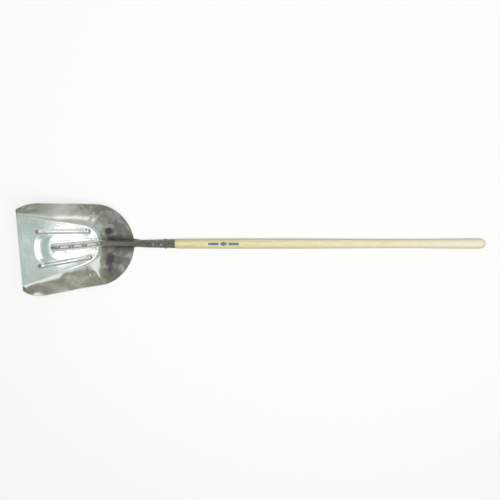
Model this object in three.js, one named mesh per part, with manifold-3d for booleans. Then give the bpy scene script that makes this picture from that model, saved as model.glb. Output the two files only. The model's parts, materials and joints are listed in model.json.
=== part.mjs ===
import * as THREE from 'three';
import { mergeGeometries, mergeVertices } from 'three/addons/utils/BufferGeometryUtils.js';
import Module from 'manifold-3d';

// A long-handled grain scoop: a pressed sheet blade riveted to the tongue of a steel
// socket, with a strap behind the blade and a wooden handle pinned into the socket.
//
// Everything is drawn in the tool's own frame, in millimetres. X runs along the handle's
// axis with zero at the mouth of the socket and the blade on the negative side, Y runs
// across the blade, and Z points out of its hollow side.

// ---------------------------------------------------------------- driving dimensions

const GAP = 0.3; // clearance between pieces that touch
const SINK = 0.8; // how far a piece is drawn into the sheet before the sheet trims it

// Blade. Its flat floor has a frame of its own: "along" runs from the lip towards the
// handle, and zero is where the floor's plane crosses the handle's axis.
const BLADE_LIFT = THREE.MathUtils.degToRad(26); // floor against the handle's axis
const BLADE_ORIGIN_X = -292; // where the floor's plane crosses the handle's axis
const SHEET = 2.2; // sheet thickness
const LIP = -275; // along position of the front edge
const REAR = 126; // along position of the rear edge
const LIP_BEVEL = 9; // length of the edge that is drawn down to a knife edge
const LIP_HALF_WIDTH = 150;
const FLOOR_LIP_HALF_WIDTH = 129; // flat floor's half width at the lip
const FLOOR_REAR_HALF_WIDTH = 70; // and where its straight sides end
const FLOOR_SIDE_END = -50; // along position where its straight sides end
const FLOOR_REAR = 0; // along position where its rounded rear end closes
const FLOOR_END_POWER = 2.4; // squareness of the rounded end, as a superellipse
const SIDE_HALF_WIDTH = 154; // rim's half width where the rear curve starts
const SIDE_TAPER = 0.078; // the sides widen by this much per millimetre towards the lip
const FRONT_CURVE = -196; // along position where the sides start to turn in to the lip
const REAR_WIDTH_POWER = 1.9; // roundness of the rear curve
const SIDE_WALL_HEIGHT = 24; // rim above the floor's plane along the sides
const REAR_WALL_HEIGHT = 56; // rim above the floor's plane at the rear edge
const SIDE_SHARE = 0.55; // share of the rim's parameter that the straight sides take
const SIDE_FOLD_SOFTNESS = 14;
const REAR_FOLD_SOFTNESS = 220;
// Shares of the rim, from 0 at the lip to 1 at the rear, over which the wall changes.
const LIP_RISE = 0.03; // the wall rises out of the lip at this rate
const REAR_RISE = { start: 0.3, end: 0.95 }; // from the side wall's height to the rear's
const REAR_SOFTENING = { start: 0.3, end: 0.9 }; // from a crisp side fold to a soft rear one

// Two stiffening ribs pressed up into the floor, with a round bulb at each end.
const RIB_FRONT = { along: -204, across: 63.5 };
const RIB_REAR = { along: -32, across: 50 };
const RIB_RADIUS = 6.2;
const RIB_BULB_RADIUS = 8;
const RIB_FLATTENING = 0.5; // height over half width
const RIB_HOLLOW_SCALE = 0.97; // the hollow under a rib against the rib
const RIB_OVERLAP = 0.05; // how far a rib's middle sits under the sheet's upper face

// Socket and tongue.
const SOCKET_ROOT_X = -122; // the round socket begins here
const SOCKET_ROOT_RADIUS = 14.2;
const SOCKET_MOUTH_RADIUS = 17.3;
const SOCKET_NOSE = 7; // length of the rounded end in front of the root
const MOUTH_CHAMFER = 0.7;
const SOCKET_WALL = 1.7;
const BORE_END_X = -90;
const BORE_END_RADIUS = 12;
const BORE_CONE = 2; // length of the cone at the bore's end
const SEAM_GROOVE = { start: -118, end: -94, depth: 5, halfWidth: 3.2 };
const SHANK_RADIUS = 11; // half-round bar between the socket and the blade's floor
const SHANK_MARGIN = 0.6; // what is left of the tongue's margins beside the shank
const TONGUE_TIP = -167; // along position of the tongue's rounded end
const TONGUE_HALF_WIDTH = 15;
const TONGUE_EDGE = 2.6; // thickness of the tongue's flat margins
const TONGUE_BEAD_HALF_WIDTH = 8;
const TONGUE_BEAD_HEIGHT = 8;
const BEAD_START = 4; // from the tongue's tip to the bead's
const BEAD_END = 8; // along position where the handle's bar starts to rise out of the bead
const BEAD_RUN = 16; // length over which the bead rises
const TONGUE_MERGE = { start: -15, end: 30 }; // along positions where tongue turns to shank
const CREST_BEND_X = -283; // the shank leaves the floor here
const CREST_AT_BEND = 4; // height of its crest over the handle's axis there
const RIVET_SEAT_DEPTH = 1.4; // flat seats sunk into the bead under the rivets' heads

// Strap behind the blade.
const STRAP_FRONT = -66; // along position of the strap's rounded front end
const STRAP_THICKNESS = 3;
const STRAP_HALF_WIDTH = 15;
const STRAP_ROOT_HALF_WIDTH = 17;
const STRAP_FLARE_START = 85; // along position where the strap starts to widen
const STRAP_CLEARANCE = 0.8; // between the strap's end and the underside of the socket
const STRAP_END_X = -100;
const STRAP_END_HALF_WIDTH = 8;

// Handle radii along its axis. The tenon is the part inside the socket.
const TENON_END_X = -88;
const TENON_END_RADIUS = BORE_END_RADIUS - GAP;
const HANDLE_END_X = 1167;
const HANDLE_STATIONS = [
  [4, 17.4],
  [12, 18.5],
  [120, 18.9],
  [320, 19.3],
  [500, 18.8],
  [658, 18.1],
  [750, 17.6],
  [846, 17.3],
  [930, 17.6],
  [1020, 18.6],
  [1109, 19.3],
  [1142, 19.1],
];

// Rivets.
const BLADE_RIVETS = [-144, -96.5, -50, 3.5]; // along positions, lip end first
const BLADE_RIVET = { shank: 3.2, head: 6, rise: 2.6 };
const SOCKET_RIVETS = [-81, -51]; // X positions of the two front-to-back rivets
const CROSS_RIVET_X = -34.5;
const SOCKET_RIVET = { shank: 2.6, head: 5.4, rise: 1.6 };
const HEAD_RIM = 0.5; // height of a head's straight rim under its dome
const SEAT_SPARE = 0.6; // a rivet seat's radius beyond the head's

// The tool lies on its back. The strap touches the ground at this X position.
const HEEL_X = -227;

// Mesh fineness.
const COLUMNS_PER_SIDE = 28;
const FLOOR_ROWS = 3;
const WALL_ROWS = 7;
const ROUND_SEGMENTS = 28;
const RIVET_SEGMENTS = 14;
const RIB_SEGMENTS = 20;
const WALL_ROW_POWER = 1.2; // rows are closer together near the fold
const GRID_MIDDLE = { sideEnd: -60, drift: 20 }; // where the floor's rows start on its middle
const CUTTER_LENGTH = 60; // drills that are longer than anything they pass through

// ---------------------------------------------------------------- solids and booleans

const wasm = await Module();
wasm.setup();

// A geometry with shared vertices merged and collapsed triangles left out.
function weld(geometry) {
  const bare = new THREE.BufferGeometry();
  bare.setAttribute('position', geometry.attributes.position.clone());
  if (geometry.index) {
    bare.setIndex(geometry.index.clone());
  }
  const merged = mergeVertices(bare, 1e-4);
  const kept = [];
  for (let i = 0; i < merged.index.count; i += 3) {
    const corners = [0, 1, 2].map((k) => merged.index.getX(i + k));
    if (new Set(corners).size === 3) {
      kept.push(...corners);
    }
  }
  merged.setIndex(kept);
  return merged;
}

function toSolid(geometry) {
  const welded = weld(geometry);
  return new wasm.Manifold(
    new wasm.Mesh({
      numProp: 3,
      vertProperties: new Float32Array(welded.attributes.position.array),
      triVerts: new Uint32Array(welded.index.array),
    }),
  );
}

function toGeometry(solid) {
  const mesh = solid.getMesh();
  const geometry = new THREE.BufferGeometry();
  geometry.setAttribute('position', new THREE.BufferAttribute(mesh.vertProperties.slice(), 3));
  geometry.setIndex(Array.from(mesh.triVerts));
  geometry.computeVertexNormals();
  return geometry;
}

function cutFrom(solid, cutters) {
  return cutters.reduce((left, cutter) => left.subtract(toSolid(cutter)), solid);
}

// A closed skin through a row of rings that all have the same number of points. Each end
// is closed by a fan round the middle of its ring.
function loft(rings) {
  const count = rings[0].length;
  const points = rings.flat();
  const faces = [];
  for (let i = 0; i + 1 < rings.length; i += 1) {
    for (let j = 0; j < count; j += 1) {
      const a = i * count + j;
      const b = i * count + ((j + 1) % count);
      faces.push(a, b, b + count);
      faces.push(a, b + count, a + count);
    }
  }
  const addCap = (ring, start, outward) => {
    const middle = ring.reduce((sum, p) => sum.add(p), new THREE.Vector3()).divideScalar(count);
    points.push(middle);
    const centre = points.length - 1;
    for (let j = 0; j < count; j += 1) {
      const a = start + j;
      const b = start + ((j + 1) % count);
      faces.push(...(outward ? [centre, a, b] : [centre, b, a]));
    }
  };
  addCap(rings[0], 0, false);
  addCap(rings[rings.length - 1], (rings.length - 1) * count, true);
  const geometry = new THREE.BufferGeometry().setFromPoints(points);
  geometry.setIndex(faces);
  return geometry;
}

// Outline points (radius, x) turned about the handle's axis.
function turned(outline, segments) {
  const profile = outline.map(([radius, x]) => new THREE.Vector2(radius, x));
  const geometry = new THREE.LatheGeometry(profile, segments);
  geometry.rotateZ(-Math.PI / 2);
  return geometry;
}

// ---------------------------------------------------------------- blade surface

const lerp = THREE.MathUtils.lerp;
const smoothstep = THREE.MathUtils.smoothstep;

// Half width of the flat floor between its tapering sides.
const floorHalfWidth = (along) =>
  lerp(FLOOR_LIP_HALF_WIDTH, FLOOR_REAR_HALF_WIDTH, (along - LIP) / (FLOOR_SIDE_END - LIP));

// Place on the flat floor's outline. Share is 0 at the lip and 1 at the rear.
function foldAt(share) {
  if (share < SIDE_SHARE) {
    const along = lerp(LIP, FLOOR_SIDE_END, share / SIDE_SHARE);
    return { along, across: floorHalfWidth(along) };
  }
  const phase = ((share - SIDE_SHARE) / (1 - SIDE_SHARE)) * (Math.PI / 2);
  const length = Math.sin(phase) ** (2 / FLOOR_END_POWER);
  const narrowing = Math.max(0, Math.cos(phase)) ** (2 / FLOOR_END_POWER);
  const along = lerp(FLOOR_SIDE_END, FLOOR_REAR, length);
  return { along, across: floorHalfWidth(along) * narrowing };
}

// Place on the rim, with its height above the floor's plane.
function rimAt(share) {
  const side = share / SIDE_SHARE;
  const phase = (Math.max(0, share - SIDE_SHARE) / (1 - SIDE_SHARE)) * (Math.PI / 2);
  const along = side < 1 ? lerp(LIP, 0, side) : REAR * Math.sin(phase);
  const width = SIDE_HALF_WIDTH - SIDE_TAPER * along;
  const turnIn = Math.max(0, FRONT_CURVE - along) / (FRONT_CURVE - LIP);
  const lipDrop = SIDE_HALF_WIDTH - SIDE_TAPER * LIP - LIP_HALF_WIDTH;
  const across = width * Math.max(0, Math.cos(phase)) ** (2 / REAR_WIDTH_POWER) - lipDrop * turnIn ** 2;
  const height =
    SIDE_WALL_HEIGHT * (1 - Math.exp(-share / LIP_RISE)) +
    (REAR_WALL_HEIGHT - SIDE_WALL_HEIGHT) * smoothstep(share, REAR_RISE.start, REAR_RISE.end);
  return { along, across, height };
}

// Height of the wall at a distance outside the floor's outline: a soft bend, then a
// straight wall that reaches the rim.
function wallHeight(share, distance, reach) {
  const softened = smoothstep(share, REAR_SOFTENING.start, REAR_SOFTENING.end);
  const softness = lerp(SIDE_FOLD_SOFTNESS, REAR_FOLD_SOFTNESS, softened);
  const bend = (d) => Math.hypot(d, softness) - softness;
  return (rimAt(share).height * bend(distance)) / bend(reach);
}

// Upper face of the sheet in the floor's frame: (along, across, up). Row is 0 on the
// middle line, 1 at the fold and 2 at the rim.
function sheetPoint(share, row, side) {
  const fold = foldAt(share);
  if (row <= 1) {
    const drift = GRID_MIDDLE.drift * Math.max(0, share - SIDE_SHARE);
    const middle = lerp(LIP, GRID_MIDDLE.sideEnd, Math.min(1, share / SIDE_SHARE)) + drift;
    return new THREE.Vector3(lerp(middle, fold.along, row), side * fold.across * row, 0);
  }
  const rim = rimAt(share);
  const reach = Math.max(1e-3, Math.hypot(rim.along - fold.along, rim.across - fold.across));
  const t = row - 1;
  return new THREE.Vector3(
    lerp(fold.along, rim.along, t),
    side * lerp(fold.across, rim.across, t),
    wallHeight(share, t * reach, reach),
  );
}

// Outward normal of the upper face, from small steps along and across it.
function sheetNormal(share, row, side) {
  const step = 1e-3;
  const s0 = Math.max(step, Math.min(1 - 2 * step, share - step / 2));
  const r0 = row < 1 + step / 2 ? Math.max(step, row - step) : Math.min(2 - step, row);
  const here = sheetPoint(s0, r0, side);
  const alongStep = sheetPoint(s0 + step, r0, side).sub(here);
  const acrossStep = sheetPoint(s0, r0 + step / 2, side).sub(here);
  const normal = alongStep.cross(acrossStep).normalize();
  if (normal.z < 0) {
    normal.negate();
  }
  if (share > 1 - step) {
    normal.y = 0;
    normal.normalize();
  }
  return normal;
}

// The sheet's height on its middle line, above the floor's plane.
function middleHeight(along) {
  return along <= FLOOR_REAR ? 0 : wallHeight(1, along - FLOOR_REAR, REAR - FLOOR_REAR);
}

// A point of the floor's frame in the tool's frame.
function fromFloor(along, across, up) {
  return new THREE.Vector3(
    BLADE_ORIGIN_X + along * Math.cos(BLADE_LIFT) + up * Math.sin(BLADE_LIFT),
    across,
    -along * Math.sin(BLADE_LIFT) + up * Math.cos(BLADE_LIFT),
  );
}

// ---------------------------------------------------------------- blade

// One row of the sheet's grid after another: over the upper face from the middle line to
// the rim, then back along the lower face. Both ends meet on the middle line, and the two
// faces meet in the knife edge of the lip. A spread thickens the sheet on both faces and
// past its rim, for cutting its neighbours to a clearance.
function sheetGeometry(spread = 0) {
  const rowPlaces = [];
  for (let i = 0; i < FLOOR_ROWS; i += 1) {
    rowPlaces.push(i / FLOOR_ROWS);
  }
  for (let i = 0; i <= WALL_ROWS; i += 1) {
    rowPlaces.push(1 + (i / WALL_ROWS) ** WALL_ROW_POWER);
  }
  rowPlaces[rowPlaces.length - 1] += (2 * spread) / (REAR - FLOOR_REAR);
  const faceRows = rowPlaces.length;
  const bevelShare = (LIP_BEVEL / (FLOOR_SIDE_END - LIP)) * SIDE_SHARE;
  const shareAt = (column) => {
    const step = Math.min(column, 2 * COLUMNS_PER_SIDE - column);
    return step === 0 ? 0 : lerp(bevelShare, 1, (step - 1) / (COLUMNS_PER_SIDE - 1));
  };
  const grid = new THREE.PlaneGeometry(1, 1, 2 * COLUMNS_PER_SIDE, 2 * faceRows - 1);
  const columns = 2 * COLUMNS_PER_SIDE + 1;
  for (let i = 0; i < grid.attributes.position.count; i += 1) {
    const column = i % columns;
    const line = Math.floor(i / columns);
    const side = column <= COLUMNS_PER_SIDE ? -1 : 1;
    const upper = line < faceRows;
    const row = rowPlaces[upper ? line : 2 * faceRows - 1 - line];
    const share = shareAt(column);
    const point = sheetPoint(share, row, side);
    if (share === 1) {
      point.y = 0;
    }
    if (share > 0) {
      const offset = upper ? spread : -SHEET - spread;
      point.addScaledVector(sheetNormal(share, row, side), offset);
    }
    grid.attributes.position.setXYZ(i, point.x, point.y, point.z);
  }
  return grid;
}

// A rib's body: a bar with a bulb at each end, turned about its own length and flattened.
function ribGeometry(side, radiusScale, drop) {
  const length = Math.hypot(RIB_REAR.along - RIB_FRONT.along, RIB_REAR.across - RIB_FRONT.across);
  const neckAngle = Math.PI - Math.asin(RIB_RADIUS / RIB_BULB_RADIUS);
  const bulbSteps = 7;
  const bulb = [];
  for (let i = 0; i <= bulbSteps; i += 1) {
    const angle = (i / bulbSteps) * neckAngle;
    bulb.push(new THREE.Vector2(RIB_BULB_RADIUS * Math.sin(angle), -RIB_BULB_RADIUS * Math.cos(angle)));
  }
  const farBulb = bulb.map((p) => new THREE.Vector2(p.x, length - p.y)).reverse();
  const geometry = new THREE.LatheGeometry([...bulb, ...farBulb], RIB_SEGMENTS);
  geometry.scale(radiusScale, 1, radiusScale);
  const bearing = Math.atan2(RIB_REAR.across - RIB_FRONT.across, RIB_REAR.along - RIB_FRONT.along);
  geometry.rotateZ(-Math.PI / 2);
  geometry.scale(1, 1, RIB_FLATTENING);
  geometry.rotateZ(bearing);
  geometry.translate(RIB_FRONT.along, RIB_FRONT.across, 0);
  if (side < 0) {
    geometry.rotateX(Math.PI);
  }
  geometry.translate(0, 0, -drop);
  return geometry;
}

// A round hole square to the floor.
function floorHole(along, radius) {
  const hole = new THREE.CylinderGeometry(radius, radius, CUTTER_LENGTH, RIVET_SEGMENTS);
  hole.rotateX(Math.PI / 2);
  hole.translate(along, 0, 0);
  return hole;
}

function bladeGeometry() {
  let solid = toSolid(sheetGeometry());
  for (const side of [1, -1]) {
    solid = solid.add(toSolid(ribGeometry(side, 1, RIB_OVERLAP)));
    solid = solid.subtract(toSolid(ribGeometry(side, RIB_HOLLOW_SCALE, SHEET)));
  }
  const holes = BLADE_RIVETS.map((along) => floorHole(along, BLADE_RIVET.shank + GAP));
  return toGeometry(cutFrom(solid, holes));
}

// ---------------------------------------------------------------- socket and tongue

// One cross-section of the tongue or shank, square to the handle's axis: a bottom that
// sags by so much at its middle, a thin margin on each side and a half-round bead on top.
function barSection(x, bottom, sag, halfWidth, edgeTop, beadHalfWidth, top) {
  const ring = [];
  const bottomSteps = 6;
  for (let i = 0; i <= bottomSteps; i += 1) {
    const angle = Math.PI * (1 - i / bottomSteps);
    ring.push(new THREE.Vector3(x, halfWidth * Math.cos(angle), bottom - sag * Math.sin(angle)));
  }
  ring.push(new THREE.Vector3(x, halfWidth, edgeTop));
  const beadSteps = 8;
  for (let i = 0; i <= beadSteps; i += 1) {
    const angle = (Math.PI * i) / beadSteps;
    const rise = (top - edgeTop) * Math.sin(angle);
    ring.push(new THREE.Vector3(x, beadHalfWidth * Math.cos(angle), edgeTop + rise));
  }
  ring.push(new THREE.Vector3(x, -halfWidth, edgeTop));
  return ring;
}

// The tongue lies on the floor, and the shank runs straight along the handle's axis from
// the bend at the back of the floor to the socket.
function tongueGeometry() {
  const rings = [];
  let start = {};
  const tipLength = TONGUE_HALF_WIDTH;
  const tipSteps = 5;
  const firstStep = 0.35; // the first ring has some width, so that the tip isn't a point
  const stations = [];
  for (let i = 0; i < tipSteps; i += 1) {
    const angle = ((i + firstStep) / tipSteps) * (Math.PI / 2);
    stations.push(TONGUE_TIP + tipLength * (1 - Math.cos(angle)));
  }
  const lastStation = REAR - 1;
  const bodySteps = 22;
  for (let i = 0; i <= bodySteps; i += 1) {
    stations.push(lerp(TONGUE_TIP + tipLength, lastStation, i / bodySteps));
  }
  for (const along of stations) {
    const foot = fromFloor(along, 0, middleHeight(along));
    const fromTip = Math.min(1, (along - TONGUE_TIP) / tipLength);
    const round = Math.sqrt(1 - (1 - fromTip) ** 2);
    const merge = smoothstep(along, TONGUE_MERGE.start, TONGUE_MERGE.end);
    const alongBead = (along - TONGUE_TIP - BEAD_START) / BEAD_RUN;
    const beadRound = Math.sqrt(THREE.MathUtils.clamp(alongBead, 0.02, 1));
    const beadHalfWidth = lerp(TONGUE_BEAD_HALF_WIDTH * beadRound * round, SHANK_RADIUS, merge);
    const halfWidth = lerp(TONGUE_HALF_WIDTH * round, SHANK_RADIUS + SHANK_MARGIN, merge);
    const edge = TONGUE_EDGE * lerp(0.5, 1, round); // the tip is half as thick
    const edgeTop = foot.z + (GAP + edge) / Math.cos(BLADE_LIFT);
    const beadTop = edgeTop + 0.2 + (TONGUE_BEAD_HEIGHT - TONGUE_EDGE) * beadRound * round;
    const crest = lerp(CREST_AT_BEND, SHANK_RADIUS, smoothstep(foot.x, CREST_BEND_X, SOCKET_ROOT_X));
    const top = along > BEAD_END ? Math.max(beadTop, crest) : beadTop;
    rings.push(barSection(foot.x, foot.z - SINK, 0, halfWidth, edgeTop, beadHalfWidth, top));
    start = { x: foot.x, bottom: foot.z - SINK, edgeTop };
  }
  // Past the blade's rear edge the section grows round and runs on into the socket.
  const hidden = 0.8; // how far the bar stays inside the socket's surface
  for (const t of [0.25, 0.5, 0.75, 1, 1.25]) {
    const blend = Math.min(1, t);
    const radius = lerp(SHANK_RADIUS, SOCKET_ROOT_RADIUS - hidden, blend);
    rings.push(
      barSection(
        lerp(start.x, SOCKET_ROOT_X, t),
        lerp(start.bottom, -1, blend),
        lerp(0, radius - 1.2, blend),
        radius + 0.4 * (1 - blend),
        lerp(start.edgeTop, 0, blend),
        radius - 0.2,
        radius,
      ),
    );
  }
  return loft(rings);
}

function socketTube() {
  const noseSteps = 4;
  const nose = [];
  for (let i = 1; i <= noseSteps; i += 1) {
    const angle = (i / noseSteps) * (Math.PI / 2);
    nose.push([SOCKET_ROOT_RADIUS * Math.sin(angle), SOCKET_ROOT_X - SOCKET_NOSE * Math.cos(angle)]);
  }
  return turned(
    [
      [0, SOCKET_ROOT_X - SOCKET_NOSE],
      ...nose,
      [SOCKET_MOUTH_RADIUS, -MOUTH_CHAMFER],
      [SOCKET_MOUTH_RADIUS - MOUTH_CHAMFER, 0],
      [SOCKET_MOUTH_RADIUS - SOCKET_WALL, 0],
      [BORE_END_RADIUS, BORE_END_X + BORE_CONE],
      [0, BORE_END_X],
    ],
    ROUND_SEGMENTS,
  );
}

// The closing seam at the front of the socket: a V-shaped groove, deepest at its middle.
function seamCutter() {
  const { start, end, depth, halfWidth } = SEAM_GROOVE;
  const middle = (start + end) / 2;
  const clear = 1; // the cutter's ends stand clear of the socket by this much
  const roof = SOCKET_MOUTH_RADIUS + 4 * clear;
  const ringAt = (x, share) => {
    const half = halfWidth * (0.3 + share);
    return [
      new THREE.Vector3(x, 0, SOCKET_ROOT_RADIUS + clear - (depth + clear) * share),
      new THREE.Vector3(x, half, roof),
      new THREE.Vector3(x, -half, roof),
    ];
  };
  return loft([ringAt(start, 0), ringAt(middle, 1), ringAt(end, 0)]);
}

// A round hole through the socket and the handle, from front to back or from side to side.
function crossHole(x, radius, frontToBack) {
  const hole = new THREE.CylinderGeometry(radius, radius, CUTTER_LENGTH, RIVET_SEGMENTS);
  if (frontToBack) {
    hole.rotateX(Math.PI / 2);
  }
  hole.translate(x, 0, 0);
  return hole;
}

const socketRivetHoles = () => [
  ...SOCKET_RIVETS.map((x) => crossHole(x, SOCKET_RIVET.shank + GAP, true)),
  crossHole(CROSS_RIVET_X, SOCKET_RIVET.shank + GAP, false),
];

// A geometry of the floor's frame, turned into the tool's frame.
function tilted(geometry) {
  geometry.rotateY(BLADE_LIFT);
  geometry.translate(BLADE_ORIGIN_X, 0, 0);
  return geometry;
}

const tiltedFloorHoles = () =>
  BLADE_RIVETS.map((along) => tilted(floorHole(along, BLADE_RIVET.shank + GAP)));

// Flat round seats for the heads of the blade rivets.
const rivetSeats = () =>
  BLADE_RIVETS.map((along) => {
    const seat = floorHole(along, BLADE_RIVET.head + SEAT_SPARE);
    seat.translate(0, 0, CUTTER_LENGTH / 2 + TONGUE_BEAD_HEIGHT - RIVET_SEAT_DEPTH);
    return tilted(seat);
  });

// The blade's sheet with a clearance all round it, in the tool's frame.
const sheetCutter = () => tilted(sheetGeometry(GAP));

function socketGeometry() {
  const solid = toSolid(tongueGeometry()).add(toSolid(socketTube()));
  const bladeCutters = [sheetCutter(), ...rivetSeats(), ...tiltedFloorHoles()];
  return toGeometry(cutFrom(solid, [...bladeCutters, seamCutter(), ...socketRivetHoles()]));
}

// ---------------------------------------------------------------- back strap

function strapSection(x, top, bottom, halfWidth) {
  return [
    new THREE.Vector3(x, -halfWidth, bottom),
    new THREE.Vector3(x, 0, bottom),
    new THREE.Vector3(x, halfWidth, bottom),
    new THREE.Vector3(x, halfWidth, top),
    new THREE.Vector3(x, 0, top),
    new THREE.Vector3(x, -halfWidth, top),
  ];
}

// The strap follows the back of the blade, widens at the rear edge and narrows again to
// end under the socket.
function strapGeometry() {
  const rings = [];
  let start = {};
  const steps = 22;
  const below = SHEET / Math.cos(BLADE_LIFT) - SINK;
  for (let i = 0; i <= steps; i += 1) {
    const along = lerp(STRAP_FRONT, REAR - 0.5, i / steps);
    const foot = fromFloor(along, 0, middleHeight(along));
    const fromTip = Math.min(1, (along - STRAP_FRONT + 1.5) / STRAP_HALF_WIDTH);
    const round = Math.sqrt(1 - (1 - fromTip) ** 2);
    const flare = smoothstep(along, STRAP_FLARE_START, REAR);
    const halfWidth = lerp(STRAP_HALF_WIDTH * round, STRAP_ROOT_HALF_WIDTH, flare);
    const top = foot.z - below;
    rings.push(strapSection(foot.x, top, top - SINK - STRAP_THICKNESS, halfWidth));
    start = { x: foot.x, top };
  }
  // Past the rear edge the strap settles under the socket in the first half of its run, and
  // then falls away a little as the socket widens.
  const settled = 0.5;
  const underSocket = -SOCKET_ROOT_RADIUS - STRAP_CLEARANCE;
  for (const t of [0.2, 0.4, 0.6, 0.8, 1]) {
    const x = lerp(start.x, STRAP_END_X, t);
    const fall = 0.6 * Math.max(0, t - settled);
    const top = lerp(start.top, underSocket, smoothstep(t, 0, settled)) - fall;
    const halfWidth = lerp(STRAP_ROOT_HALF_WIDTH, STRAP_END_HALF_WIDTH, smoothstep(t, 0, 0.8));
    rings.push(strapSection(x, top, top - STRAP_THICKNESS, halfWidth));
  }
  return toGeometry(cutFrom(toSolid(loft(rings)), [sheetCutter(), ...tiltedFloorHoles()]));
}

// ---------------------------------------------------------------- handle and rivets

function handleGeometry() {
  const last = HANDLE_STATIONS[HANDLE_STATIONS.length - 1];
  const endSteps = 6;
  const roundEnd = [];
  for (let i = 1; i < endSteps; i += 1) {
    const angle = (i / endSteps) * (Math.PI / 2);
    roundEnd.push([last[1] * Math.cos(angle), last[0] + (HANDLE_END_X - last[0]) * Math.sin(angle)]);
  }
  const outline = [
    [0, TENON_END_X],
    [TENON_END_RADIUS, TENON_END_X],
    [SOCKET_MOUTH_RADIUS - SOCKET_WALL - GAP, GAP],
    ...HANDLE_STATIONS.map(([x, radius]) => [radius, x]),
    ...roundEnd,
    [0, HANDLE_END_X],
  ];
  return toGeometry(cutFrom(toSolid(turned(outline, ROUND_SEGMENTS)), socketRivetHoles()));
}

// A rivet along Y: a shank from low to high with a domed head on each end.
function rivetGeometry(low, high, { shank, head, rise }) {
  const domeSteps = 4;
  const dome = (base, direction) => {
    const points = [];
    for (let i = 0; i < domeSteps; i += 1) {
      const angle = (i / domeSteps) * (Math.PI / 2);
      points.push([head * Math.cos(angle), base + direction * (HEAD_RIM + rise * Math.sin(angle))]);
    }
    return points;
  };
  const outline = [
    [0, low - HEAD_RIM - rise],
    ...dome(low, -1).reverse(),
    [head, low],
    [shank, low],
    [shank, high],
    [head, high],
    ...dome(high, 1),
    [0, high + HEAD_RIM + rise],
  ];
  return new THREE.LatheGeometry(
    outline.map(([r, y]) => new THREE.Vector2(r, y)),
    RIVET_SEGMENTS,
  );
}

// ---------------------------------------------------------------- materials and assembly

const aluminium = () =>
  new THREE.MeshStandardMaterial({ color: 0xa9ada8, roughness: 0.28, metalness: 1 });
const steel = () =>
  new THREE.MeshStandardMaterial({ color: 0x6f6f68, roughness: 0.5, metalness: 1 });
const rivetSteel = () =>
  new THREE.MeshStandardMaterial({ color: 0x86867c, roughness: 0.42, metalness: 1 });
const ash = () =>
  new THREE.MeshStandardMaterial({ color: 0xe2d6a6, roughness: 0.5, metalness: 0 });

function named(name, geometry, material) {
  const mesh = new THREE.Mesh(geometry, material);
  mesh.name = name;
  return mesh;
}

// Everything fixed square to the blade's floor shares this turned group.
const floorFrame = new THREE.Group();
floorFrame.rotation.y = BLADE_LIFT;
floorFrame.position.x = BLADE_ORIGIN_X;
floorFrame.add(named('blade', bladeGeometry(), aluminium()));

BLADE_RIVETS.forEach((along, index) => {
  const throughStrap = along > STRAP_FRONT;
  const strapBack = SHEET + GAP + STRAP_THICKNESS * Math.cos(BLADE_LIFT) + GAP;
  const low = throughStrap ? -strapBack : -SHEET - GAP;
  const high = TONGUE_BEAD_HEIGHT - RIVET_SEAT_DEPTH + GAP;
  const rivet = named(`blade_rivet_${index + 1}`, rivetGeometry(low, high, BLADE_RIVET), rivetSteel());
  rivet.rotation.x = Math.PI / 2;
  rivet.position.x = along;
  floorFrame.add(rivet);
});

const tool = new THREE.Group();
tool.add(floorFrame);
tool.add(named('socket', socketGeometry(), steel()));
tool.add(named('back_strap', strapGeometry(), steel()));
tool.add(named('handle', handleGeometry(), ash()));

// The socket's radius at X, for the rivets' heads to sit on.
const socketRadius = (x) =>
  lerp(SOCKET_ROOT_RADIUS, SOCKET_MOUTH_RADIUS, (x - SOCKET_ROOT_X) / -SOCKET_ROOT_X);

SOCKET_RIVETS.forEach((x, index) => {
  const reach = socketRadius(x) + GAP;
  const rivet = named(`socket_rivet_${index + 1}`, rivetGeometry(-reach, reach, SOCKET_RIVET), rivetSteel());
  rivet.rotation.x = Math.PI / 2;
  rivet.position.x = x;
  tool.add(rivet);
});

const crossReach = socketRadius(CROSS_RIVET_X) + GAP;
const crossRivet = named('cross_rivet', rivetGeometry(-crossReach, crossReach, SOCKET_RIVET), rivetSteel());
crossRivet.position.x = CROSS_RIVET_X;
tool.add(crossRivet);

// The tool lies on its back: the strap behind the blade's bend and the swelling at the
// handle's end touch the ground, and the origin is at the middle of the ground under it.
const [endSwellX, endSwellRadius] = HANDLE_STATIONS[HANDLE_STATIONS.length - 2];
const strapBox = new THREE.Box3().setFromObject(tool.getObjectByName('back_strap'), true);
tool.rotation.y = Math.atan2(-strapBox.min.z - endSwellRadius, endSwellX - HEEL_X);

const group = new THREE.Group();
group.add(tool);
group.updateMatrixWorld(true);
const box = new THREE.Box3().setFromObject(tool, true);
const centre = box.getCenter(new THREE.Vector3());
tool.position.set(-centre.x, -centre.y, -box.min.z);

export default group;
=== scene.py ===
"""Grain scoop shovel: the visual model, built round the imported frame."""
import json
import math

import bmesh
import bpy
import numpy as np
from mathutils import Matrix, Vector, noise


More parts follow.
